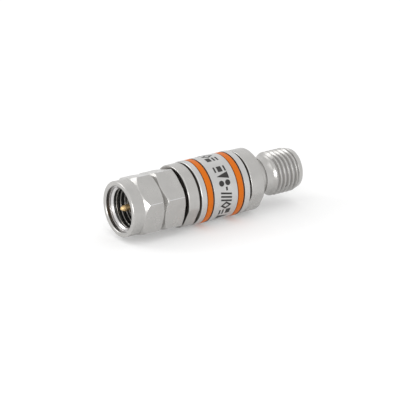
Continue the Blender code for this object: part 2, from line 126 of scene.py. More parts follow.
class AdapterNutSizes(bpy.types.PropertyGroup):
    """Sizes of the coupling nut and of the split ring in it."""
    corner_radius: length("Corner radius", 4.619, "Radius over the hexagon's corners")
    corner_round: length("Corner rounding", 0.06, "Radius that softens the hexagon's corners")
    corner_angle: degrees("Corner angle", 41.6, "Where the first corner stands round the axis")
    skirt_length: length("Skirt length", 1.86, "Round part in front of the hexagon")
    skirt_radius: length("Skirt radius", 3.98, "Radius of the round part")
    rim_bevel: length("Rim bevel", 0.10, "Bevel on the front rim")
    rear_trim: length("Rear trim", 0.50, "How much the rear chamfer takes off the corners")
    rear_slope: degrees("Rear slope", 30.0, "Slope of the rear chamfer")
    groove_setback: length("Groove setback", 3.34, "From the rear face to the V groove")
    groove_radius: length("Groove radius", 3.78, "Radius at the bottom of the V groove")
    groove_slope: degrees("Groove slope", 30.0, "Slope of the V groove's sides")
    groove_trim: length("Groove trim", 0.20, "Chamfer on the corners beside the V groove")
    mouth_radius: length("Mouth radius", 3.30, "Radius of the counterbore at the front")
    mouth_depth: length("Mouth depth", 0.66, "Depth of that counterbore")
    step_radius: length("Step radius", 3.12, "Radius of the small step below the counterbore")
    step_length: length("Step length", 0.12, "Length of that step")
    thread_setback: length("Thread setback", 1.02, "From the front to the inner thread")
    thread_bore: length("Thread bore", 2.83, "Radius over the crests of the inner thread")
    thread_length: length("Thread length", 2.80, "Length of the inner thread")
    undercut_radius: length("Undercut radius", 3.30, "Radius behind the inner thread")
    rear_bore: length("Rear bore", 3.25, "Bore that turns on the shank")
    land_length: length("Land length", 0.90, "Bore between the undercut and the ring groove")
    ring_room: length("Ring room", 0.05, "Gap beside the split ring in the nut")
    rim_room: length("Rim room", 0.08, "Gap round the split ring in the nut")
    ring_inner: length("Ring inner radius", 2.97, "Inner radius of the split ring")
    ring_outer: length("Ring outer radius", 3.42, "Outer radius of the split ring")
    ring_split: length("Ring split", 1.20, "Opening of the split ring")


class AdapterBodySizes(bpy.types.PropertyGroup):
    """Sizes of the two bodies and the sleeve between them."""
    body_radius: length("Body radius", 4.60, "Radius of the sleeve")
    rim_radius: length("Rim radius", 4.50, "Radius of the flange and of the grip")
    edge_bevel: length("Edge bevel", 0.12, "Bevel on turned edges")
    flange_gap: length("Flange gap", 0.38, "From the nut to the flange")
    flange_length: length("Flange length", 1.81, "Length of the front flange")
    boss_radius: length("Boss radius", 3.95, "Radius at the bottom of the narrow grooves")
    shank_radius: length("Shank radius", 3.15, "Radius of the shank under the nut")
    ring_groove_radius: length("Ring groove radius", 2.68, "Bottom of the shank's groove")
    ring_groove_room: length("Ring groove room", 0.12, "Gap beside the ring in the shank")
    lip_bore: length("Lip bore", 2.305, "Bore of the shank's front lip")
    lip_setback: length("Lip setback", 1.49, "From the flange to the end of that lip")
    line_bore: length("Line bore", 2.61, "Bore of the bodies round the line")
    spigot_radius: length("Spigot radius", 3.20, "Radius of the screwed spigot")
    spigot_relief: length("Spigot relief", 0.60, "Undercut in front of the spigot's screwed part")
    socket_bore: length("Socket bore", 3.23, "Bore that takes the spigot")
    socket_radius: length("Socket radius", 3.75, "Outer radius of the socket under the sleeve")
    sleeve_bore: length("Sleeve bore", 3.78, "Bore of the marking sleeve")
    face_gap: length("Face gap", 0.02, "Gap between faces that meet")
    grip_gap: length("Grip gap", 0.30, "From the sleeve to the rear grip")
    grip_length: length("Grip length", 2.00, "Straight length of the rear grip")
    taper_length: length("Taper length", 0.30, "Length of the bevel behind the grip")
    taper_drop: length("Taper drop", 0.22, "Radius lost over that bevel")
    neck_length: length("Neck length", 1.62, "Neck behind the grip")
    neck_radius: length("Neck radius", 2.50, "Radius of the neck")
    relief_length: length("Relief length", 1.17, "Smooth relief in front of the thread")
    relief_radius: length("Relief radius", 2.70, "Radius of the relief")
    lead_in_length: length("Lead-in length", 1.20, "Cone behind the thread's last turn")
    lead_in_drop: length("Lead-in drop", 0.35, "Radius lost over that cone")
    counterbore: length("Counterbore", 2.31, "Radius of the counterbore in the female end")


class AdapterBandSizes(bpy.types.PropertyGroup):
    """Sizes of the colour bands and of the marks between them."""
    front_offset: length("Front offset", 1.02, "From the sleeve's front edge to its band")
    rear_offset: length("Rear offset", 1.20, "From the sleeve's rear edge to its band")
    width: length("Band width", 0.84, "Width of a band")
    radius: length("Band radius", 4.57, "Outer radius of a band")
    thickness: length("Band thickness", 0.24, "Thickness of a band")
    front_gap: length("Front gap", 0.17, "Gap in front of a band in its groove")
    rear_gap: length("Rear gap", 0.21, "Gap behind a band in its groove")
    floor_gap: length("Floor gap", 0.03, "Gap under a band")
    crown: length("Crown", 0.012, "How far a band's middle stands over its edges")
    mark_centre: length("Mark centre", 0.24, "Station of the middle of the marks")
    mark_height: length("Mark height", 1.90, "Height of the marks along the axis")
    mark_start: degrees("Mark start", 62.0, "Where the first mark stands round the axis")
    ink_film: length("Ink film", 0.006, "Thickness of the ink")


class AdapterLineSizes(bpy.types.PropertyGroup):
    """Sizes of the coaxial line inside."""
    outer_radius: length("Line radius", 1.75, "Inner radius of the outer conductor")
    centre_radius: length("Centre radius", 0.7606, "Radius of the centre conductor")
    spigot_radius: length("Male spigot radius", 2.275, "Outer radius at the male plane")
    tube_radius: length("Tube radius", 2.58, "Outer radius of the tubes and bead rings")
    pin_radius: length("Pin radius", 0.4635, "Radius of the male pin")
    pin_nose: length("Pin nose", 0.65, "Length over which the pin narrows to its end")
    pin_recess: length("Pin recess", 0.03, "Shoulders lie this far behind the planes")
    stud_radius: length("Stud radius", 0.45, "Radius of the studs through the beads")
    stud_length: length("Stud length", 1.50, "Length of a stud beyond its bead")
    stud_gap: length("Stud gap", 0.02, "Clearance round a stud")
    mouth_bevel: length("Mouth bevel", 0.12, "Bevel on the socket's mouth")
    hole_depth: length("Socket depth", 2.60, "Depth of the hole in the socket")
    slot_width: length("Slot width", 0.12, "Width of the socket's slots")
    slot_length: length("Slot length", 2.40, "Length of the socket's slots")
    bead_step: length("Bead step", 0.20, "A bead is this much larger than the line")
    bead_hole: length("Bead hole", 0.26, "Radius of the holes in a bead")
    seat_gap: length("Seat gap", 0.03, "Clearance round a bead")


class AdapterThread(bpy.types.PropertyGroup):
    """The 1/4-36 thread of the nut and of the female end."""
    major_radius: length("Major radius", 3.175, "Radius over the outer thread's crests")
    pitch: length("Pitch", 0.7056, "Distance between turns")
    depth: length("Depth", 0.39, "Radial depth of the thread")
    fade: length("Fade", 0.35, "Length over which the thread runs out")
    last_turn: length("Last turn", 0.64, "How far the outer thread reaches into its end cone")
    root_room: length("Root room", 0.04, "Gap between its inner roots and its outer crests")
    steps: IntProperty(
        name="Steps", description="Sections along one pitch", default=28, min=8, max=40,
    )


class AdapterFinish(bpy.types.PropertyGroup):
    """Colours and roughness of the finishes; colours are linear."""
    steel: tint("Steel", (0.47, 0.462, 0.448), "Passivated stainless steel")
    sleeve: tint("Sleeve steel", (0.54, 0.537, 0.53), "Marking sleeve, a little paler")
    line: tint("Line steel", (0.60, 0.59, 0.57), "Fine turned outer conductors")
    root: tint("Root steel", (0.47, 0.462, 0.455), "Roots of the outer thread")
    # mouth: paler than the steel, a painted highlight on the nut's mouth; its lower roughness is
    # real
    mouth: tint("Mouth steel", (0.62, 0.61, 0.61), "Smooth counterbore of the nut")
    # burnish: paler steel on the hexagon's corners, a painted highlight
    burnish: tint("Burnished steel", (0.66, 0.66, 0.67), "Corners of the hexagon, rubbed bright")
    # bore: near-black steel inside the nut, painted shade
    bore: tint("Bore steel", (0.085, 0.087, 0.083), "Oiled thread and bore of the nut")
    # gap: darker steel in the gap behind the nut and in the nut's mouth, painted shade
    gap: tint("Gap steel", (0.32, 0.305, 0.29), "Flange's front, mouth's wall and inner crests")
    # groove: darker steel in and under the narrow grooves, painted shade
    groove: tint("Groove steel", (0.27, 0.25, 0.23), "Dark faces in the narrow grooves")
    gold: tint("Gold", (0.84, 0.60, 0.30), "Gold plate")
    bronze: tint("Bronze", (0.48, 0.30, 0.15), "Spring bronze")
    band: tint("Band", (0.67, 0.150, 0.002), "Orange plastic")
    bead: tint("Bead", (0.72, 0.68, 0.52), "Natural plastic")
    ink: tint("Ink", (0.04, 0.038, 0.037), "Black marking ink")
    steel_roughness: factor("Steel roughness", 0.30, "Roughness of the turned steel")
    mouth_roughness: factor("Mouth roughness", 0.24, "Roughness of the nut's smooth faces")
    groove_roughness: factor("Groove roughness", 0.50, "Roughness of the dark faces")
    gold_roughness: factor("Gold roughness", 0.27, "Roughness of the gold plate along the axis")
    line_roughness: factor("Line roughness", 0.22, "Roughness of the line's metal")
    plastic_roughness: factor("Plastic roughness", 0.42, "Roughness of the plastics")


class AdapterStage(bpy.types.PropertyGroup):
    """Camera, floor and light."""
    azimuth: degrees("Azimuth", -34.16, "Camera's turn from the front towards the male end")
    elevation: degrees("Elevation", 21.07, "Camera's height over the horizon")
    distance: length("Distance", 368.0, "From the camera to the sleeve's front edge")
    slide_right: length("Slide right", 2.229, "How far the view slides to the right")
    slide_down: length("Slide down", 0.895, "How far the view slides down")
    lens: FloatProperty(
        name="Lens", description="Focal length on a 36 mm sensor", default=236.3, min=10.0,
        unit="CAMERA",
    )
    floor_size: length("Floor size", 2000.0, "Side of the floor")
    floor: tint("Floor", (0.86, 0.86, 0.86), "Pale floor")
    floor_glow: factor("Floor glow", 0.20, "What the eye sees of the floor beyond its light")
    surroundings: factor("Surroundings", 0.85, "Light that the surroundings give")


def even_angles(count, edges=()):
    """Even angles round the axis, with closer ones on both sides of each edge angle."""
    offsets = np.radians([-0.5, -0.22, -0.09, 0.0, 0.09, 0.22, 0.5])
    room = math.radians(0.65)
    even = np.arange(count) * TURN / count
    if not len(edges):
        return even
    edges = np.mod(np.asarray(edges), TURN)
    clear = np.min(np.abs(np.mod(even[:, None] - edges + math.pi, TURN) - math.pi), axis=1)
    near = np.mod((edges[:, None] + offsets).ravel(), TURN)
    return np.sort(np.concatenate([even[clear > room], near]))


def half_section(items, angles):
    """Closed half section with rounded corners, as an array (points, angles, 2).

    An item is a corner (x, radius, width), each a number or one value per angle, or a run of
    finished points (points, angles, 2). A corner without a width has that of a broken edge.
    A corner of width w starts w before its point and ends w after it, at most 0.4 of either
    side. The curve between is the conic whose middle weight is the sine of half the corner's
    angle, which is a circle. One more point on each side, a fifth of the width further on,
    keeps the face beyond it flat in shading.
    """
    side_share, beyond, steps = 0.4, 1.2, 3
    count = len(angles)
    points = []
    widths = []
    for item in items:
        if isinstance(item, np.ndarray):
            points += list(item)
            widths += [0.0] * len(item)
        else:
            x, radius, *width = item
            points.append(np.stack([np.broadcast_to(x, count), np.broadcast_to(radius, count)], -1))
            widths += width or [EDGE_BREAK]
    share = np.linspace(0.0, 1.0, steps + 1)[:, None, None]
    section = []
    for index, width in enumerate(widths):
        here = points[index]
        if not width:
            section.append(here[None])
            continue
        back = points[index - 1] - here
        ahead = points[(index + 1) % len(points)] - here
        back_length = np.linalg.norm(back, axis=1, keepdims=True)
        ahead_length = np.linalg.norm(ahead, axis=1, keepdims=True)
        reach = np.minimum(width, side_share * np.minimum(back_length, ahead_length))
        back = back / back_length * reach
        ahead = ahead / ahead_length * reach
        cosine = np.sum(back * ahead, axis=1, keepdims=True) / reach ** 2
        weight = np.sqrt(np.clip((1 - cosine) / 2, 0.0, 1.0))
        first = (1 - share) ** 2
        middle = 2 * weight * share * (1 - share)
        last = share ** 2
        arc = here + (first * back + last * ahead) / (first + middle + last)
        section += [(here + back * beyond)[None], arc, (here + ahead * beyond)[None]]
    return np.concatenate(section)


def trough(front, rear, rim, floor, width=EDGE_BREAK):
    """Four corners of a square groove. With the floor outside the rim they are a plain ring."""
    return [(front, rim, width), (front, floor, width), (rear, floor, width), (rear, rim, width)]


def grid_cells(index):
    """Quads between the neighbours in a grid of corner numbers."""
    corners = [index[:-1, :-1], index[:-1, 1:], index[1:, 1:], index[1:, :-1]]
    return np.stack(corners, axis=-1).reshape(-1, 4)


def make_mesh(name, places, faces):
    """Smooth-shaded object at the origin from arrays of places and faces."""
    mesh = bpy.data.meshes.new(name)
    mesh.from_pydata(places, [], faces)
    mesh.shade_smooth()
    mesh.update()
    thing = bpy.data.objects.new(name, mesh)
    bpy.context.scene.collection.objects.link(thing)
    return thing


def skin(name, section, angles, poles=False, closed=True):
    """Object over a section (points, angles, 2).

    Point (x, r) at angle a goes to (x, r cos a, r sin a), and quads join neighbouring points
    and angles. Sections close on themselves, or with poles start and end on the axis, each
    end a fan round one point. A skin that isn't closed round the axis gets two end faces.
    """
    rows, columns = section.shape[:2]
    x = section[..., 0]
    radius = section[..., 1]
    places = np.stack([x, radius * np.cos(angles), radius * np.sin(angles)], axis=-1)
    row = np.arange(1 if poles else 0, rows - 2 if poles else rows)[:, None]
    column = np.arange(columns if closed else columns - 1)[None, :]
    next_row = (row + 1) % rows
    next_column = (column + 1) % columns
    faces = np.stack([
        row * columns + column, row * columns + next_column,
        next_row * columns + next_column, next_row * columns + column,
    ], axis=-1).reshape(-1, 4).tolist()
    places = places.reshape(-1, 3)
    if poles:
        near, far = columns - 1, (rows - 1) * columns
        column, next_column = column[0], next_column[0]
        front = [np.full(columns, near), columns + next_column, columns + column]
        rear = [np.full(columns, far), far - columns + column, far - columns + next_column]
        faces += np.stack(front, -1).tolist() + np.stack(rear, -1).tolist()
        places = places[near:far + 1]
        faces = [[corner - near for corner in face] for face in faces]
    if not closed:
        ring = np.arange(rows) * columns
        faces += [ring.tolist(), (ring + columns - 1)[::-1].tolist()]
    return make_mesh(name, places, faces)


def turned(name, items, count=128, poles=False):
    """Plain turned piece: one half section for all angles."""
    angles = even_angles(count)
    return skin(name, half_section(items, angles), angles, poles=poles)


def saw(thing, tools):
    """Cut the tools out of the thing, and keep only the result."""
    for tool in tools:
        modifier = thing.modifiers.new(tool.name, "BOOLEAN")
        modifier.operation = "DIFFERENCE"
        modifier.solver = "EXACT"
        modifier.object = tool
    seen = thing.evaluated_get(bpy.context.evaluated_depsgraph_get())
    mesh = bpy.data.meshes.new_from_object(seen)
    thing.modifiers.clear()
    thing.data = mesh
    mesh.set_sharp_from_angle(angle=math.radians(25))
    for tool in tools:
        bpy.data.objects.remove(tool, do_unlink=True)


def block(name, low, high, turn):
    """Box between two corners as a cutting tool, turned about the axis."""
    corner = np.array(np.meshgrid([0, 1], [0, 1], [0, 1], indexing="ij")).reshape(3, -1).T
    places = np.asarray(low) + corner * (np.asarray(high) - np.asarray(low))
    faces = [(0, 1, 3, 2), (4, 6, 7, 5), (0, 4, 5, 1), (2, 3, 7, 6), (0, 2, 6, 4), (1, 5, 7, 3)]
    tool = make_mesh(name, places, faces)
    tool.data.transform(Matrix.Rotation(turn, 4, "X"))
    return tool


def drill(name, front, rear, radius, centre):
    """Round bar along the axis at a centre (y, z), as a cutting tool."""
    items = [(front, 0, 0), (front, radius, 0), (rear, radius, 0), (rear, 0, 0)]
    rod = turned(name, items, count=24, poles=True)
    rod.data.transform(Matrix.Translation((0.0, *centre)))
    return rod


def thread_run(start, end, crest, root, envelope, angles, thread, fades, offset):
    """Points of a right-hand thread between two stations, for a half section.

    The phase is x / pitch - angle / turn - offset. Its distance from the nearest whole number
    is 0 in the middle of a crest and 0.5 in the middle of a root; crests are an eighth of the
    pitch wide and roots a quarter, with straight flanks between. The fades weaken the thread
    at the start and at the end. The metal is what lies inside the envelope and the thread.
    """
    crest_width, flank_width = 0.125, 0.625
    count = max(2, math.ceil((end - start) / thread.pitch * thread.steps))
    stations = np.linspace(start, end, count)
    x = stations[:, None] + 0 * angles
    phase = x / thread.pitch - angles / TURN - offset
    distance = 2 * np.abs(phase - np.round(phase))
    wave = np.clip((distance - crest_width) / flank_width, 0.0, 1.0)
    wave = wave * np.clip((x - fades[0]) / thread.fade, 0.0, 1.0)
    wave = wave * np.clip((fades[1] - x) / thread.fade, 0.0, 1.0)
    outline = np.interp(stations, *envelope)[:, None]
    radius = crest + (root - crest) * wave
    radius = np.minimum(radius, outline) if root < crest else np.maximum(radius, outline)
    return np.stack([x, radius], axis=-1)


def node(tree, kind, sockets=None, **settings):
    """Shader node with its settings, and its sockets linked or set."""
    made = tree.nodes.new(kind)
    for key, value in settings.items():
        setattr(made, key, value)
    for key, value in (sockets or {}).items():
        if isinstance(value, bpy.types.NodeSocket):
            tree.links.new(value, made.inputs[key])
        else:
            made.inputs[key].default_value = value
    return made


def base_material(name, colour, roughness, metallic):
    """Principled material with its plain values, its tree and its shader."""
    material = bpy.data.materials.new(name)
    material.use_nodes = True
    tree = material.node_tree
    shader = tree.nodes["Principled BSDF"]
    shader.inputs["Base Color"].default_value = (*colour, 1.0)
    shader.inputs["Roughness"].default_value = roughness
    shader.inputs["Metallic"].default_value = metallic
    return material, tree, shader


def noise(tree, place, scale, detail, **sockets):
    """Noise texture over a place, as its value from 0 to 1."""
    sockets = {"Vector": place, "Scale": scale, "Detail": detail, **sockets}
    return node(tree, "ShaderNodeTexNoise", sockets).outputs["Fac"]


def varied(tree, shader, colour, roughness, pattern, spread, rough_spread):
    """Let a pattern from 0 to 1 shade the colour and the roughness about their means."""
    low = [channel * (1 - spread) for channel in colour]
    high = [min(1.0, channel * (1 + spread)) for channel in colour]
    shades = node(tree, "ShaderNodeMix", {"Factor": pattern}, data_type="RGBA")
    shades.inputs[6].default_value = (*low, 1.0)
    shades.inputs[7].default_value = (*high, 1.0)
    tree.links.new(shades.outputs[2], shader.inputs["Base Color"])
    grades = node(tree, "ShaderNodeMapRange", {
        "Value": pattern, "To Min": roughness + rough_spread, "To Max": roughness - rough_spread,
    })
    tree.links.new(grades.outputs["Result"], shader.inputs["Roughness"])


def bumped(tree, shader, pattern, height):
    """Let a pattern from 0 to 1 raise the surface by a height."""
    bump = node(tree, "ShaderNodeBump", {"Height": pattern, "Strength": 1.0, "Distance": height})
    tree.links.new(bump.outputs["Normal"], shader.inputs["Normal"])


def turned_metal(name, colour, roughness, line_scale, line_height):
    """Metal with fine lathe lines.

    The lines are noise over (x, radius, a little of the angle), so that they run round the
    piece, across faces as well as along barrels. A second, coarse noise clouds the tone.
    """
    wander = 0.012
    line_share = 0.5
    cloud_scale = 650.0
    spread, rough_spread = 0.05, 0.06
    material, tree, shader = base_material(name, colour, roughness, 1.0)
    place = node(tree, "ShaderNodeTexCoord").outputs["Object"]
    parts = node(tree, "ShaderNodeSeparateXYZ", {"Vector": place})
    across = node(tree, "ShaderNodeCombineXYZ", {"Y": parts.outputs["Y"], "Z": parts.outputs["Z"]})
    radius = node(tree, "ShaderNodeVectorMath", {0: across.outputs["Vector"]}, operation="LENGTH")
    drift = node(tree, "ShaderNodeMath", {0: parts.outputs["Z"], 1: wander}, operation="MULTIPLY")
    lathe = node(tree, "ShaderNodeCombineXYZ", {
        "X": parts.outputs["X"], "Y": radius.outputs["Value"], "Z": drift.outputs["Value"],
    })
    lines = noise(tree, lathe.outputs["Vector"], line_scale, 3.0, Roughness=0.6)
    clouds = noise(tree, place, cloud_scale, 4.0, Roughness=0.55)
    mixed = node(
        tree, "ShaderNodeMath", {0: lines, 1: line_share, 2: clouds}, operation="MULTIPLY_ADD",
    )
    pattern = node(tree, "ShaderNodeMapRange", {
        "Value": mixed.outputs["Value"], "From Min": 0.5, "From Max": 1.0,
    })
    varied(tree, shader, colour, roughness, pattern.outputs["Result"], spread, rough_spread)
    bumped(tree, shader, lines, line_height)
    return material


def drawn_out(material):
    """Stretch a turned metal's gloss along the axis, across its lathe lines."""
    tree = material.node_tree
    shader = tree.nodes["Principled BSDF"]
    shader.inputs["Anisotropic"].default_value = 1.0
    shader.inputs["Anisotropic Rotation"].default_value = 0.25
    round_axis = node(tree, "ShaderNodeTangent", direction_type="RADIAL", axis="X")
    tree.links.new(round_axis.outputs["Tangent"], shader.inputs["Tangent"])
    return material


def moulded_plastic(name, colour, roughness, grain_scale, spread):
    """Plastic with a fine moulded grain and a slight mottle."""
    mottle_scale = 420.0
    rough_spread = 0.05
    grain_height = 0.0015 * MM
    material, tree, shader = base_material(name, colour, roughness, 0.0)
    place = node(tree, "ShaderNodeTexCoord").outputs["Object"]
    grain = noise(tree, place, grain_scale, 3.0)
    mottle = noise(tree, place, mottle_scale, 3.0)
    varied(tree, shader, colour, roughness, mottle, spread, rough_spread)
    shader.inputs["Specular IOR Level"].default_value = 0.2
    bumped(tree, shader, grain, grain_height)
    return material


# Kind of metal: its colour, its roughness, and the scale and height in mm of its lathe lines
METALS = {
    "turned_steel": ("steel", "steel_roughness", 11000.0, 0.0009),
    "milled_steel": ("steel", "steel_roughness", 8000.0, 0.0009),
    "satin_steel": ("sleeve", "steel_roughness", 14000.0, 0.0009),
    "fine_steel": ("line", "line_roughness", 20000.0, 0.0004),
    "mouth_steel": ("mouth", "mouth_roughness", 12000.0, 0.0003),
    "burnished_steel": ("burnish", "steel_roughness", 12000.0, 0.0003),
    "bore_steel": ("bore", "steel_roughness", 9000.0, 0.0006),
    "groove_steel": ("groove", "groove_roughness", 9000.0, 0.0006),
    "root_steel": ("root", "steel_roughness", 11000.0, 0.0009),
    "gap_steel": ("gap", "steel_roughness", 11000.0, 0.0009),
    "polished_gold": ("gold", "gold_roughness", 20000.0, 0.0004),
    "drawn_bronze": ("bronze", "steel_roughness", 9000.0, 0.0006),
}
# Kind of plastic or ink: its colour, the scale of its grain and the spread of its mottle
PLASTICS = {
    "orange_plastic": ("band", 9000.0, 0.05),
    "bead_plastic": ("bead", 12000.0, 0.05),
    "marking_ink": ("ink", 15000.0, 0.25),
}


def material_of(kind):
    """Material of a kind of finish, made at its first use."""
    finishes = bpy.context.scene.adapter_finish
    if kind in bpy.data.materials:
        return bpy.data.materials[kind]
    if kind in PLASTICS:
        colour, grain, spread = PLASTICS[kind]
        return moulded_plastic(
            kind, getattr(finishes, colour), finishes.plastic_roughness, grain, spread,
        )
    colour, roughness, scale, height = METALS[kind]
    metal = turned_metal(
        kind, getattr(finishes, colour), getattr(finishes, roughness), scale, height * MM,
    )
    return drawn_out(metal) if kind == "polished_gold" else metal


def second_finish(thing, kind, *zones):
    """Give the faces whose middle lies in a zone (x from, x to, r from, r to) another finish."""
    mesh = thing.data
    middles = np.empty(len(mesh.polygons) * 3)
    mesh.polygons.foreach_get("center", middles)
    x, y, z = middles.reshape(-1, 3).T
    radius = np.hypot(y, z)
    index = np.zeros(len(x), dtype=np.int32)
    mesh.polygons.foreach_get("material_index", index)
    for front, rear, inner, outer in zones:
        index[(x > front) & (x < rear) & (radius > inner) & (radius < outer)] = len(mesh.materials)
    mesh.materials.append(material_of(kind))
    mesh.polygons.foreach_set("material_index", index)


def finish(thing, kind, body, slot, *nodes):
    """Give a piece its material and body, and let it stand for its nodes. The slot is not used."""
    thing.data.materials.clear()
    thing.data.materials.append(material_of(kind))
    if nodes:
        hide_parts(*nodes)
    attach(thing, body)


def hexagon_radius(angles, flat, rounding, corner_angle):
    """Radius of a hexagon at each angle, its corners rounded.

    A flat at distance f has radius f / cos(30 deg - d) at angle d from the corner. Near the
    corner the outline is a circle of the rounding's radius q, whose centre is at distance
    c = (f - q) / cos(30 deg), so the radius there is c cos d + sqrt(q^2 - c^2 sin^2 d).
    """
    sixth = TURN / 6
    off = np.abs(np.mod(angles - corner_angle + sixth / 2, sixth) - sixth / 2)
    centre = (flat - rounding) / math.cos(sixth / 2)
    touch = math.atan2(rounding / 2, centre + rounding * math.cos(sixth / 2))
    straight = flat / np.cos(sixth / 2 - off)
    inside = np.maximum(rounding ** 2 - (centre * np.sin(off)) ** 2, 0.0)
    return np.where(off < touch, centre * np.cos(off) + np.sqrt(inside), straight)


def flatted_radius(angles, radius):
    """Radius of a round bar with two opposite flats, their edges barely eased.

    It is the soft minimum of the radius and flat / |cos(angle - flat angle)|, where the soft
    minimum of a and b is (a + b - sqrt((a - b)^2 + e^2)) / 2.
    """
    least_cosine, easing = 0.3, 0.01 * MM
    milled = FLAT_RADIUS / np.maximum(np.abs(np.cos(angles - FLAT_ANGLE)), least_cosine)
    return (radius + milled - np.sqrt((radius - milled) ** 2 + easing ** 2)) / 2


def flat_edges(radius):
    """Angles at which the two flats meet a round bar."""
    half = math.acos(FLAT_RADIUS / radius)
    return [FLAT_ANGLE + side + turn for side in (-half, half) for turn in (0.0, math.pi)]


class ADAPTER_OT_coupling_nut(bpy.types.Operator):
    """Hexagon nut with a round skirt, a V groove, an inner thread and a ring groove"""
    bl_idname = "adapter.coupling_nut"
    bl_label = "Coupling nut"

    def execute(self, context):
        nut = context.scene.adapter_nut
        thread = context.scene.adapter_thread
        lip = 0.03 * MM
        highlight_band = 0.035 * MM
        run_out = 0.1 * MM
        cone_share = 0.06
        thread_phase = 0.3
        flat = nut.corner_radius * math.cos(TURN / 12)
        angles = even_angles(240, edges=nut.corner_angle + np.arange(6) * TURN / 6)
        hexagon = hexagon_radius(angles, flat, nut.corner_round, nut.corner_angle)
        skirt_end = NUT_FRONT + nut.skirt_length
        groove = NUT_REAR - nut.groove_setback
        groove_half = (hexagon - nut.groove_radius) * math.tan(nut.groove_slope)
        groove_trim = np.maximum(EDGE_BREAK, hexagon - (nut.corner_radius - nut.groove_trim))
        groove_lost = groove_trim * math.tan(nut.groove_slope)
        trim = np.maximum(EDGE_BREAK, hexagon - (nut.corner_radius - nut.rear_trim))
        mouth_end = NUT_FRONT + nut.mouth_depth
        step_end = mouth_end + nut.step_length
        thread_start = NUT_FRONT + nut.thread_setback
        thread_end = thread_start + nut.thread_length
        cone_rise = nut.step_radius - nut.thread_bore
        ring_front = RING_FRONT - nut.ring_room
        ring_rear = RING_REAR + nut.ring_room
        ring_bore = nut.ring_outer + nut.rim_room
        land_front = ring_front - nut.land_length
        run = thread_run(
            thread_start, thread_end, nut.thread_bore, thread.major_radius + thread.root_room,
            ([thread_start, thread_end], [nut.thread_bore] * 2), angles, thread,
            (thread_start, thread_end + thread.fade + run_out), thread_phase,
        )[::-1]
        items = [
            (NUT_FRONT, nut.mouth_radius + nut.rim_bevel),
            (NUT_FRONT, nut.skirt_radius - nut.rim_bevel, SOFT_EDGE),
            (NUT_FRONT + nut.rim_bevel, nut.skirt_radius, SOFT_EDGE),
            (skirt_end, nut.skirt_radius, SOFT_EDGE),
            (skirt_end + hexagon - nut.skirt_radius, hexagon, SOFT_EDGE),
            (groove - groove_half - groove_trim, hexagon, SOFT_EDGE),
            (groove - groove_half + groove_lost, hexagon - groove_trim),
            (groove, nut.groove_radius, SOFT_EDGE),
            (groove + groove_half - groove_lost, hexagon - groove_trim),
            (groove + groove_half + groove_trim, hexagon),
            (NUT_REAR - trim * math.tan(nut.rear_slope), hexagon, SOFT_EDGE),
            (NUT_REAR, hexagon - trim),
            (NUT_REAR, nut.rear_bore + nut.rim_bevel),
            (NUT_REAR - nut.rim_bevel, nut.rear_bore),
            *trough(ring_rear, ring_front, nut.rear_bore, ring_bore),
            (land_front, nut.rear_bore),
            (land_front - FILLET, nut.undercut_radius),
            (thread_end + EDGE_BREAK, nut.undercut_radius),
            run,
            (thread_start + cone_share * (step_end - thread_start),
             nut.thread_bore + cone_share * cone_rise, 0),
            (step_end, nut.step_radius, lip / 2),
            (mouth_end + lip, nut.step_radius, lip / 2),
            (mouth_end, nut.mouth_radius, SOFT_EDGE),
            (NUT_FRONT + nut.rim_bevel, nut.mouth_radius, SOFT_EDGE),
        ]
        piece = skin("nut_surface", half_section(items, angles), angles)
        finish(piece, "milled_steel", "nut", "nut_steel", "coupling_nut")
        mouth_wall = nut.mouth_radius + EDGE_BREAK
        # Painted highlight: the rim bevel, step and cone of the mouth get paler steel
        second_finish(
            piece, "mouth_steel", (NUT_FRONT + nut.rim_bevel / 2, thread_start, 0, mouth_wall),
        )
        # Painted highlight: a thin band over the hexagon's corners gets paler steel
        second_finish(
            piece, "burnished_steel",
            (skirt_end, NUT_REAR, nut.corner_radius - highlight_band, nut.corner_radius),
        )
        # Painted shade: the thread, undercut, ring groove and rear bore inside the nut get
        # near-black steel
        second_finish(piece, "bore_steel", (thread_start, NUT_REAR + MM, 0, ring_bore + EDGE_BREAK))
        # Painted shade: the counterbore's wall and the crests of the inner thread get darker steel
        second_finish(
            piece, "gap_steel",
            (NUT_FRONT + nut.rim_bevel, mouth_end - EDGE_BREAK, 0, mouth_wall),
            (thread_start, thread_end, 0, nut.thread_bore + FILLET),
        )
        return {"FINISHED"}


class ADAPTER_OT_retaining_ring(bpy.types.Operator):
    """Split spring ring that holds the nut on the shank"""
    bl_idname = "adapter.retaining_ring"
    bl_label = "Retaining ring"

    def execute(self, context):
        nut = context.scene.adapter_nut
        half_gap = nut.ring_split / nut.ring_inner / 2
        angles = np.linspace(TURN / 4 + half_gap, TURN * 5 / 4 - half_gap, 120)
        items = trough(RING_FRONT, RING_REAR, nut.ring_inner, nut.ring_outer, 2 * SOFT_EDGE)
        piece = skin("ring_surface", half_section(items, angles), angles, closed=False)
        piece.data.set_sharp_from_angle(angle=math.radians(50))
        finish(piece, "drawn_bronze", "retaining_ring", "spring_bronze", "nut_retaining_ring")
        return {"FINISHED"}


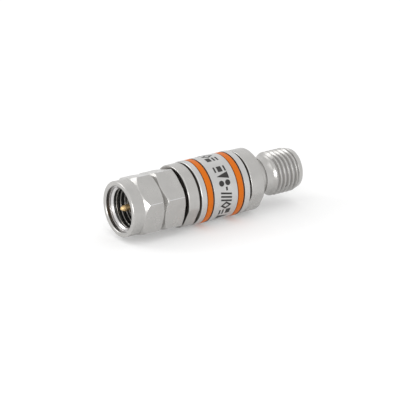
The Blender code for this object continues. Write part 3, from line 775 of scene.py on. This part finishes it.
class ADAPTER_OT_male_body(bpy.types.Operator):
    """Front body: shank under the nut, flange with wrench flats, screwed spigot"""
    bl_idname = "adapter.male_body"
    bl_label = "Male body"

    def execute(self, context):
        body = context.scene.adapter_body
        radius, bevel = body.rim_radius, body.edge_bevel
        angles = even_angles(224, edges=flat_edges(radius))
        outer = flatted_radius(angles, radius)
        rise = np.maximum(EDGE_BREAK, outer - (radius - bevel))
        flange_front = NUT_REAR + body.flange_gap
        flange_rear = flange_front + body.flange_length
        ring_front = RING_FRONT - body.ring_groove_room
        ring_rear = RING_REAR + body.ring_groove_room
        boss_end = SLEEVE_FRONT - body.face_gap
        relief_end = boss_end + body.spigot_relief
        lip_rear = flange_front - body.lip_setback
        items = [
            (SHANK_FRONT, body.lip_bore),
            (SHANK_FRONT, body.shank_radius - LEAD_BEVEL, SOFT_EDGE),
            (SHANK_FRONT + LEAD_BEVEL, body.shank_radius, SOFT_EDGE),
            *trough(ring_front, ring_rear, body.shank_radius, body.ring_groove_radius),
            (flange_front, body.shank_radius, FILLET),
            (flange_front, outer - rise, ROUND_EDGE),
            (flange_front + rise, outer, ROUND_EDGE),
            (flange_rear - rise, outer, SOFT_EDGE),
            (flange_rear, outer - rise, SOFT_EDGE),
            (flange_rear, body.boss_radius),
            (boss_end, body.boss_radius),
            (boss_end, body.spigot_radius - bevel),
            (relief_end, body.spigot_radius - bevel),
            (relief_end + bevel, body.spigot_radius),
            (SPIGOT_END - bevel, body.spigot_radius),
            (SPIGOT_END, body.spigot_radius - bevel),
            (SPIGOT_END, body.line_bore),
            (lip_rear, body.line_bore),
            (lip_rear, body.lip_bore),
        ]
        piece = skin("male_body_surface", half_section(items, angles), angles)
        finish(piece, "turned_steel", "adapter_body", "body_steel", "male_body")
        # Painted shade: the shank under the nut, everything behind the flange and the bores get
        # darker steel
        second_finish(
            piece, "groove_steel",
            (SHANK_FRONT - MM, flange_front - EDGE_BREAK, 0, radius),
            (flange_rear - EDGE_BREAK / 4, SPIGOT_END + MM, 0, radius),
        )
        # Painted shade: the flange's front face, in the gap behind the nut, gets darker steel
        second_finish(
            piece, "gap_steel",
            (flange_front - EDGE_BREAK, flange_front + EDGE_BREAK / 4, 0, radius),
        )
        return {"FINISHED"}


class ADAPTER_OT_female_body(bpy.types.Operator):
    """Rear body: socket under the sleeve, grip with wrench flats, neck and threaded end"""
    bl_idname = "adapter.female_body"
    bl_label = "Female body"

    def execute(self, context):
        body = context.scene.adapter_body
        thread = context.scene.adapter_thread
        line = context.scene.adapter_line
        run_out = 0.1 * MM
        root_share = 0.35
        thread_phase = 0.72
        radius, bevel = body.rim_radius, body.edge_bevel
        angles = even_angles(224, edges=flat_edges(radius))
        outer = flatted_radius(angles, radius)
        rise = np.maximum(EDGE_BREAK, outer - (radius - bevel))
        boss_front = SLEEVE_REAR + body.face_gap
        grip_front = SLEEVE_REAR + body.grip_gap
        taper_end = grip_front + body.grip_length + body.taper_length
        taper_end_radius = np.minimum(radius - body.taper_drop, outer - EDGE_BREAK)
        relief_start = taper_end + body.neck_length
        thread_start = relief_start + body.relief_length
        thread_rise = thread.major_radius - body.relief_radius
        lead_in = FEMALE_END - body.lead_in_length
        end_radius = thread.major_radius - body.lead_in_drop
        root = thread.major_radius - thread.depth
        bead_seat = node_ends("female_bead")[1] + body.face_gap
        socket_end = SPIGOT_END + body.face_gap + bevel
        envelope = (
            [thread_start, thread_start + thread_rise, lead_in, FEMALE_END],
            [body.relief_radius, thread.major_radius, thread.major_radius, end_radius],
        )
        run = thread_run(
            thread_start, FEMALE_END - run_out, thread.major_radius, root, envelope, angles, thread,
            (thread_start - FILLET, lead_in + thread.last_turn), thread_phase,
        )
        items = [
            (SOCKET_FRONT, body.socket_bore),
            (SOCKET_FRONT, body.socket_radius),
            (boss_front, body.socket_radius),
            (boss_front, body.boss_radius),
            (grip_front, body.boss_radius),
            (grip_front, outer - rise, ROUND_EDGE),
            (grip_front + rise, outer, ROUND_EDGE),
            (taper_end - (outer - taper_end_radius), outer, FILLET),
            (taper_end, taper_end_radius, 2 * EDGE_BREAK),
            (taper_end, body.neck_radius, 2 * FILLET),
            (relief_start, body.neck_radius, FILLET),
            (relief_start, body.relief_radius, SOFT_EDGE),
            run,
            (FEMALE_END, end_radius, FILLET),
            (FEMALE_END, body.counterbore + LEAD_BEVEL, SOFT_EDGE),
            (FEMALE_END - LEAD_BEVEL, body.counterbore, SOFT_EDGE),
            (FEMALE_PLANE, body.counterbore),
            (FEMALE_PLANE, line.outer_radius),
            (bead_seat, line.outer_radius),
            (bead_seat, body.line_bore),
            (socket_end, body.line_bore),
            (socket_end, body.socket_bore),
        ]
        piece = skin("female_body_surface", half_section(items, angles), angles)
        finish(piece, "turned_steel", "adapter_body", "body_steel", "female_body")
        # Painted shade: the socket, its boss, the grip's front face and the bores get darker steel
        second_finish(
            piece, "groove_steel", (SOCKET_FRONT - MM, grip_front + EDGE_BREAK / 4, 0, radius),
        )
        second_finish(piece, "root_steel", (
            thread_start + thread_rise, lead_in + thread.pitch,
            root - EDGE_BREAK, root + root_share * thread.depth,
        ))
        return {"FINISHED"}


def band_starts(bands):
    """Front edges of the two colour bands."""
    return SLEEVE_FRONT + bands.front_offset, SLEEVE_REAR - bands.rear_offset - bands.width


class ADAPTER_OT_marking_sleeve(bpy.types.Operator):
    """Sleeve between the bodies, with a groove for each colour band"""
    bl_idname = "adapter.marking_sleeve"
    bl_label = "Marking sleeve"

    def execute(self, context):
        body = context.scene.adapter_body
        bands = context.scene.adapter_bands
        radius, bevel = body.body_radius, body.edge_bevel
        floor = bands.radius - bands.thickness - bands.floor_gap
        grooves = [
            (start - bands.front_gap, start + bands.width + bands.rear_gap)
            for start in band_starts(bands)
        ]
        items = [
            (SLEEVE_FRONT, body.sleeve_bore),
            (SLEEVE_FRONT, radius - bevel, ROUND_EDGE),
            (SLEEVE_FRONT + bevel, radius, ROUND_EDGE),
            *(corner for groove in grooves for corner in trough(*groove, radius, floor)),
            (SLEEVE_REAR - bevel, radius, SOFT_EDGE),
            (SLEEVE_REAR, radius - bevel, SOFT_EDGE),
            (SLEEVE_REAR, body.sleeve_bore),
        ]
        piece = turned("sleeve_surface", items, count=256)
        finish(piece, "satin_steel", "adapter_body", "sleeve_steel", "marking_sleeve")
        # Painted shade: the sleeve's end faces, its bore and the band grooves get darker steel
        second_finish(
            piece, "groove_steel",
            (SLEEVE_FRONT - MM, SLEEVE_REAR + MM, 0, radius - bevel - EDGE_BREAK / 2),
            *(
                (front - EDGE_BREAK, rear + EDGE_BREAK, 0, radius - EDGE_BREAK)
                for front, rear in grooves
            ),
        )
        return {"FINISHED"}


class ADAPTER_OT_colour_bands(bpy.types.Operator):
    """Two plastic rings, slightly crowned, in the sleeve's grooves"""
    bl_idname = "adapter.colour_bands"
    bl_label = "Colour bands"

    def execute(self, context):
        bands = context.scene.adapter_bands
        inner = bands.radius - bands.thickness
        across = np.linspace(0.08, 0.92, 13)[:, None]
        angles = even_angles(256)
        for end, start in zip(("front", "rear"), band_starts(bands)):
            crown = np.stack([
                start + bands.width * across + 0 * angles,
                bands.radius + bands.crown * 4 * across * (1 - across) + 0 * angles,
            ], axis=-1)
            items = [
                (start, inner, SOFT_EDGE),
                (start, bands.radius, FILLET),
                crown,
                (start + bands.width, bands.radius, FILLET),
                (start + bands.width, inner, SOFT_EDGE),
            ]
            piece = skin(f"band_{end}_surface", half_section(items, angles), angles)
            finish(piece, "orange_plastic", "adapter_body", "orange_band", f"colour_band_{end}")
        return {"FINISHED"}


def quad_mark(corners):
    """Four-sided mark: bilinear between its corners over the unit square."""
    step = np.linspace(0.0, 1.0, 5)
    u, v = np.meshgrid(step, step, indexing="ij")
    weights = np.stack([(1 - u) * (1 - v), (1 - u) * v, u * (1 - v), u * v], axis=-1)
    return weights @ np.asarray(corners, dtype=float)


def disc_mark(centre, radius):
    """Round mark: (u, v) in the square -1 to 1 goes to (u sqrt(1 - v^2/2), v sqrt(1 - u^2/2))."""
    step = np.linspace(-1.0, 1.0, 9)
    u, v = np.meshgrid(step, step, indexing="ij")
    disc = np.stack([u * np.sqrt(1 - v ** 2 / 2), v * np.sqrt(1 - u ** 2 / 2)], axis=-1)
    return np.asarray(centre) + radius * disc


def stroke(start, end, width):
    """Straight bar of a width between two points (along, round)."""
    start, end = np.asarray(start), np.asarray(end)
    ahead = (end - start) / np.linalg.norm(end - start)
    side = np.array([-ahead[1], ahead[0]]) * width / 2
    return quad_mark([start - side, start + side, end - side, end + side])


def diamond():
    """Four sides of a diamond: what lies between it and the same diamond scaled down."""
    inner = 0.48
    outer = np.array([(0.50, 0), (0, 0.32), (-0.50, 0), (0, -0.32)])
    after = np.roll(outer, -1, axis=0)
    return [quad_mark([a, a * inner, b, b * inner]) for a, b in zip(outer, after)]


def hatching(count, lean):
    """Slanted strokes side by side."""
    spacing, reach, width = 0.27, 0.48, 0.14
    places = (np.arange(count) - (count - 1) / 2) * spacing
    return [stroke((-reach, place - lean), (reach, place + lean), width) for place in places]


def wedge(way):
    """Long triangle, its point barely cut off, that points forward or back along the axis."""
    reach, base, point = 0.5, 0.27, 0.01
    corners = [(-reach, -base), (-reach, base), (reach, -point), (reach, point)]
    return [quad_mark(way * np.array(corners))]


def blocks(*spans, width=0.48):
    """Cross bars, each from one place to another along the axis."""
    return [stroke((low, 0.0), (high, 0.0), width) for low, high in spans]


# Place of each mark round the sleeve, in mark heights, and its patches
MARKS = [
    (-0.32, hatching(2, 0.12)),
    (0.34, wedge(1)),
    (0.98, diamond()),
    (1.62, blocks((-0.50, -0.10), (0.06, 0.22), (0.36, 0.50))),
    (2.74, blocks((-0.50, -0.36), (-0.20, 0.20), (0.36, 0.50))),
    (3.32, wedge(-1)),
    (3.88, [disc_mark((-0.27, 0.0), 0.22), disc_mark((0.27, 0.0), 0.22)]),
    (4.32, blocks((0.02, 0.17), width=0.28)),
    (4.94, hatching(3, -0.10)),
    (5.62, diamond()),
    (6.22, blocks((-0.50, -0.36), (-0.22, -0.08), (0.10, 0.50))),
    (6.84, wedge(1)),
]


def mark_plate(patch, offset, bands, radius):
    """Closed thin plate over a patch of (along, round) places on the barrel.

    A place (s, t) in mark heights goes to x = centre + s height and angle = offset - t height
    / radius, just over the barrel; the lid is the same patch one film higher.
    """
    clear = 0.001 * MM
    x = bands.mark_centre + patch[..., 0] * bands.mark_height
    angle = offset - patch[..., 1] * bands.mark_height / radius
    layers = [
        np.stack([x, level * np.cos(angle), level * np.sin(angle)], axis=-1).reshape(-1, 3)
        for level in (radius + clear, radius + bands.ink_film)
    ]
    size = x.size
    index = np.arange(size).reshape(x.shape)
    cells = grid_cells(index)
    rim = np.concatenate([index[0, :-1], index[:-1, -1], index[-1, :0:-1], index[:0:-1, 0]])
    after = np.roll(rim, -1)
    walls = np.stack([rim, after, after + size, rim + size], axis=-1)
    return np.concatenate(layers), np.concatenate([cells[:, ::-1], cells + size, walls])


class ADAPTER_OT_marks(bpy.types.Operator):
    """Generic marks in black ink between the bands: hatching, wedges, bars, dots and diamonds"""
    bl_idname = "adapter.marks"
    bl_label = "Marks"

    def execute(self, context):
        bands = context.scene.adapter_bands
        radius = context.scene.adapter_body.body_radius
        places = []
        faces = []
        total = 0
        for order, patches in MARKS:
            offset = bands.mark_start + order * bands.mark_height / radius
            for patch in patches:
                plate, cells = mark_plate(patch, offset, bands, radius)
                places.append(plate)
                faces += (cells + total).tolist()
                total += len(plate)
        piece = make_mesh("sleeve_marks", np.concatenate(places), faces)
        piece.data.set_sharp_from_angle(angle=math.radians(40))
        finish(piece, "marking_ink", "adapter_body", "sleeve_steel")
        return {"FINISHED"}


class ADAPTER_OT_outer_conductors(bpy.types.Operator):
    """Outer conductors of the line: male front piece, middle tube and two bead rings"""
    bl_idname = "adapter.outer_conductors"
    bl_label = "Outer conductors"

    def execute(self, context):
        line = context.scene.adapter_line
        body = context.scene.adapter_body
        bevel = body.edge_bevel
        front, rear = node_ends("male_outer_conductor")
        shoulder = NUT_REAR + body.flange_gap - (body.lip_setback - body.face_gap)
        seat = line.outer_radius + line.bead_step + line.seat_gap
        piece = turned("male_conductor_surface", [
            (front, line.outer_radius, SOFT_EDGE),
            (front, line.spigot_radius - bevel, SOFT_EDGE),
            (front + bevel, line.spigot_radius, SOFT_EDGE),
            (shoulder, line.spigot_radius),
            (shoulder, line.tube_radius),
            (rear, line.tube_radius),
            (rear, line.outer_radius),
        ])
        finish(piece, "fine_steel", "adapter_body", "line_steel", "male_outer_conductor")
        for tube, inner in (
            ("line_tube", line.outer_radius), ("male_bead_ring", seat), ("female_bead_ring", seat),
        ):
            piece = turned(f"{tube}_surface", trough(*node_ends(tube), inner, line.tube_radius))
            finish(piece, "fine_steel", "adapter_body", "line_steel", tube)
        return {"FINISHED"}


class ADAPTER_OT_beads(bpy.types.Operator):
    """Dielectric beads, each with six tuning holes round the stud"""
    bl_idname = "adapter.beads"
    bl_label = "Beads"

    def execute(self, context):
        line = context.scene.adapter_line
        outer = line.outer_radius + line.bead_step
        inner = line.stud_radius + line.stud_gap
        circle = (line.centre_radius + outer) / 2
        for end in ("male", "female"):
            front, rear = node_ends(f"{end}_bead")
            piece = turned(
                f"{end}_bead_surface", trough(front, rear, inner, outer, 2 * EDGE_BREAK), count=96,
            )
            saw(piece, [
                drill(f"{end}_drill_{index}", front - MM, rear + MM, line.bead_hole,
                      (circle * math.cos(index * TURN / 6), circle * math.sin(index * TURN / 6)))
                for index in range(6)
            ])
            finish(piece, "bead_plastic", "adapter_body", "bead_dielectric", f"{end}_bead")
        return {"FINISHED"}


class ADAPTER_OT_centre_line(bpy.types.Operator):
    """Gold plated centre line: pin, middle conductor and slotted socket"""
    bl_idname = "adapter.centre_line"
    bl_label = "Centre line"

    def execute(self, context):
        line = context.scene.adapter_line
        gap = context.scene.adapter_body.face_gap
        thick, stud, bevel = line.centre_radius, line.stud_radius, line.mouth_bevel
        bore = stud + line.stud_gap
        hole = line.pin_radius + line.stud_gap
        depth = line.stud_length + gap

        # The nose's radius is the pin's times this power of the share of the nose's length
        bluntness = 0.4
        angles = even_angles(64)
        along = np.linspace(0.03, 1.0, 16)[:, None] ** 2 + 0 * angles
        nose = np.stack([
            PIN_TIP + line.pin_nose * along, line.pin_radius * along ** bluntness,
        ], axis=-1)
        shoulder = MALE_PLANE + line.pin_recess
        bead_front = node_ends("male_bead")[0] - gap
        pin = skin("pin_surface", half_section([
            (PIN_TIP, 0.0, 0), nose, (shoulder, line.pin_radius), (shoulder, thick),
            (bead_front, thick), (bead_front, stud),
            (PIN_STUD_END, stud, 2 * SOFT_EDGE), (PIN_STUD_END, 0.0, 0),
        ], angles), angles, poles=True)

        front, rear = node_ends("centre_conductor")
        middle = turned("centre_surface", [
            (front + depth, 0.0, 0), (front + depth, bore), *trough(front, rear, bore, thick),
            (rear - depth, bore), (rear - depth, 0.0, 0),
        ], count=64, poles=True)

        stud_end, mouth = node_ends("female_contact")
        bead_rear = node_ends("female_bead")[1] + gap
        socket = turned("socket_surface", [
            (stud_end, 0.0, 0), (stud_end, stud, 2 * SOFT_EDGE),
            (bead_rear, stud), (bead_rear, thick),
            (mouth - bevel, thick, 2 * EDGE_BREAK), (mouth, thick - bevel, SOFT_EDGE),
            (mouth, hole, SOFT_EDGE),
            (mouth - line.hole_depth, hole), (mouth - line.hole_depth, 0.0, 0),
        ], count=64, poles=True)
        saw(socket, [
            block(f"blade_{index}", (mouth - line.slot_length, -2 * thick, -line.slot_width / 2),
                  (mouth + MM, 2 * thick, line.slot_width / 2), (index + 0.5) * TURN / 4)
            for index in range(2)
        ])
        for piece, solid in (
            (pin, "male_pin"), (middle, "centre_conductor"), (socket, "female_contact"),
        ):
            finish(piece, "polished_gold", "adapter_body", "gold_plate", solid)
        return {"FINISHED"}


# Name, direction from the middle, distance and side in millimetres, and power of each lamp
LAMPS = [
    ("key_lamp", (-0.35, -0.45, 1.0), 400.0, 320.0, 0.16),
    ("corner_lamp", (-0.845, -0.525, 0.10), 300.0, 110.0, 0.25),
    ("top_lamp", (-0.61, 0.60, 0.51), 300.0, 130.0, 0.14),
    ("front_lamp", (0.52, -0.85, 0.08), 400.0, 200.0, 0.012),
    ("rear_lamp", (0.52, 0.56, 0.64), 400.0, 240.0, 0.015),
]


def seen_by_eye(tree):
    """Socket that is 1 for camera, mirrored and see-through rays."""
    path = node(tree, "ShaderNodeLightPath")
    mirrored = node(tree, "ShaderNodeMath", {
        0: path.outputs["Is Glossy Ray"], 1: path.outputs["Is Transmission Ray"],
    }, operation="MAXIMUM")
    return node(tree, "ShaderNodeMath", {
        0: path.outputs["Is Camera Ray"], 1: mirrored.outputs["Value"],
    }, operation="MAXIMUM").outputs["Value"]


def make_floor(stage, height):
    """Pale floor that the camera sees as white where nothing shades it.

    Its colour is a plain diffuse one. For camera rays an even glow is added, which lifts the
    lit floor to white and leaves the object's shadow on it.
    """
    count = 9
    step = np.linspace(-stage.floor_size / 2, stage.floor_size / 2, count)
    x, y = np.meshgrid(step, step, indexing="ij")
    places = np.stack([x, y, np.full_like(x, height)], axis=-1).reshape(-1, 3)
    index = np.arange(count ** 2).reshape(count, count)
    floor = make_mesh("floor", places, grid_cells(index.T).tolist())
    material = bpy.data.materials.new("floor_paint")
    material.use_nodes = True
    tree = material.node_tree
    tree.nodes.clear()
    paint = node(tree, "ShaderNodeBsdfDiffuse", {"Color": (*stage.floor, 1.0)})
    lift = node(
        tree, "ShaderNodeMath", {0: seen_by_eye(tree), 1: stage.floor_glow}, operation="MULTIPLY",
    )
    glow = node(tree, "ShaderNodeEmission", {"Strength": lift.outputs["Value"]})
    both = node(
        tree, "ShaderNodeAddShader", {0: paint.outputs["BSDF"], 1: glow.outputs["Emission"]},
    )
    node(tree, "ShaderNodeOutputMaterial", {"Surface": both.outputs["Shader"]})
    floor.data.materials.append(material)


def make_world(stage):
    """White surroundings: full white for camera, glossy and see-through rays, softer light."""
    world = bpy.data.worlds.new("studio")
    bpy.context.scene.world = world
    world.use_nodes = True
    tree = world.node_tree
    background = tree.nodes["Background"]
    background.inputs["Color"].default_value = (1.0, 1.0, 1.0, 1.0)
    strength = node(tree, "ShaderNodeMapRange", {
        "Value": seen_by_eye(tree), "To Min": stage.surroundings, "To Max": 1.0,
    })
    tree.links.new(strength.outputs["Result"], background.inputs["Strength"])


def make_lamp(name, direction, distance, size, power):
    """Square lamp in a direction from the object's middle, turned to face it."""
    light = bpy.data.lights.new(name, "AREA")
    light.shape = "SQUARE"
    light.size = size
    light.energy = power
    lamp = bpy.data.objects.new(name, light)
    lamp.location = direction.normalized() * distance
    lamp.rotation_euler = direction.to_track_quat("Z", "Y").to_euler()
    bpy.context.scene.collection.objects.link(lamp)


def make_camera(stage):
    """Long lens at the photograph's angle.

    The camera stands at distance times the direction back from the sleeve's front edge, slid
    right and down in its own picture plane, and looks along minus that direction.
    """
    azimuth, elevation = stage.azimuth, stage.elevation
    back = Vector((
        math.sin(azimuth) * math.cos(elevation), -math.cos(azimuth) * math.cos(elevation),
        math.sin(elevation),
    ))
    right = Vector((math.cos(azimuth), math.sin(azimuth), 0.0))
    up = back.cross(right)
    camera = bpy.data.cameras.new("camera")
    camera.lens = stage.lens
    camera.sensor_width = 36.0
    camera.clip_start = 0.01
    camera.clip_end = 10.0
    thing = bpy.data.objects.new("camera", camera)
    place = Matrix((right, up, back)).transposed().to_4x4()
    slide = back * stage.distance + right * stage.slide_right - up * stage.slide_down
    place.translation = slide + Vector((SLEEVE_FRONT, 0.0, 0.0))
    thing.matrix_world = place
    bpy.context.scene.collection.objects.link(thing)
    bpy.context.scene.camera = thing


class ADAPTER_OT_stage(bpy.types.Operator):
    """Pale floor, white surroundings, soft lamps and the camera"""
    bl_idname = "adapter.stage"
    bl_label = "Stage"

    def execute(self, context):
        stage = context.scene.adapter_stage
        make_floor(stage, -context.scene.adapter_body.body_radius)
        make_world(stage)
        for name, direction, distance, size, power in LAMPS:
            make_lamp(name, Vector(direction), distance * MM, size * MM, power)
        make_camera(stage)
        context.scene.view_settings.view_transform = "Standard"
        return {"FINISHED"}


OPERATORS = (
    ADAPTER_OT_stage,
    ADAPTER_OT_coupling_nut,
    ADAPTER_OT_retaining_ring,
    ADAPTER_OT_male_body,
    ADAPTER_OT_female_body,
    ADAPTER_OT_marking_sleeve,
    ADAPTER_OT_colour_bands,
    ADAPTER_OT_marks,
    ADAPTER_OT_outer_conductors,
    ADAPTER_OT_beads,
    ADAPTER_OT_centre_line,
)
GROUPS = {
    "adapter_nut": AdapterNutSizes,
    "adapter_body": AdapterBodySizes,
    "adapter_bands": AdapterBandSizes,
    "adapter_line": AdapterLineSizes,
    "adapter_thread": AdapterThread,
    "adapter_finish": AdapterFinish,
    "adapter_stage": AdapterStage,
}


class ADAPTER_PT_panel(bpy.types.Panel):
    """Sizes, finishes and the steps that build the adapter"""
    bl_idname = "ADAPTER_PT_panel"
    bl_label = "Coaxial adapter"
    bl_space_type = "VIEW_3D"
    bl_region_type = "UI"
    bl_category = "Adapter"

    def draw(self, context):
        for operator in OPERATORS:
            self.layout.operator(operator.bl_idname)
        for name in GROUPS:
            group = getattr(context.scene, name)
            box = self.layout.box()
            box.label(text=name.replace("_", " ").capitalize())
            for key in group.__annotations__:
                box.prop(group, key)


CLASSES = (*GROUPS.values(), *OPERATORS, ADAPTER_PT_panel)


def register():
    """Register the classes and hang the groups of sizes on the scene."""
    for kind in CLASSES:
        bpy.utils.register_class(kind)
    for name, group in GROUPS.items():
        setattr(bpy.types.Scene, name, PointerProperty(type=group))


def unregister():
    """Take the groups of sizes off the scene and unregister the classes."""
    for name in GROUPS:
        delattr(bpy.types.Scene, name)
    for kind in reversed(CLASSES):
        bpy.utils.unregister_class(kind)


def main():
    """Register the add-on and build everything."""
    register()
    for operator in OPERATORS:
        step = operator.bl_idname.split(".")[1]
        getattr(bpy.ops.adapter, step)()


if __name__ == "__main__":
    main()
